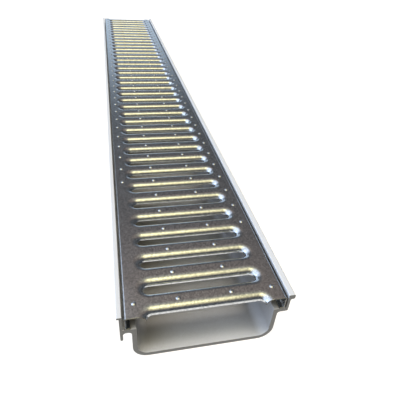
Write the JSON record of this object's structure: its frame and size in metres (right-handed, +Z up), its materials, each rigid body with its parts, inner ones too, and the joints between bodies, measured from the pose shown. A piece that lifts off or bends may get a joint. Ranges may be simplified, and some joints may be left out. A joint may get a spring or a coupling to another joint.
{
  "type": "channel drain",
  "caption": "Shallow linear drain: an extruded plastic trough with a slotted, pressed and galvanised steel grate lying on its ledges.",
  "frame": {"origin": "centre of the bounding box, on the underside of the trough's floor", "axes": "+Y along the drain, away from the end where the smooth patches of the grate are; +X across it, towards the rim with the thick lip; +Z up, out of the grate's top face"},
  "size_m": [0.1308, 1, 0.048],
  "materials": {
    "white_pvc": "extruded, satin sheen",
    "galvanised_steel": "bright zinc coating with a fine spangle"
  },
  "bodies": {
    "root": {"trough": "white_pvc", "grate": "galvanised_steel"}
  },
  "joints": []
}
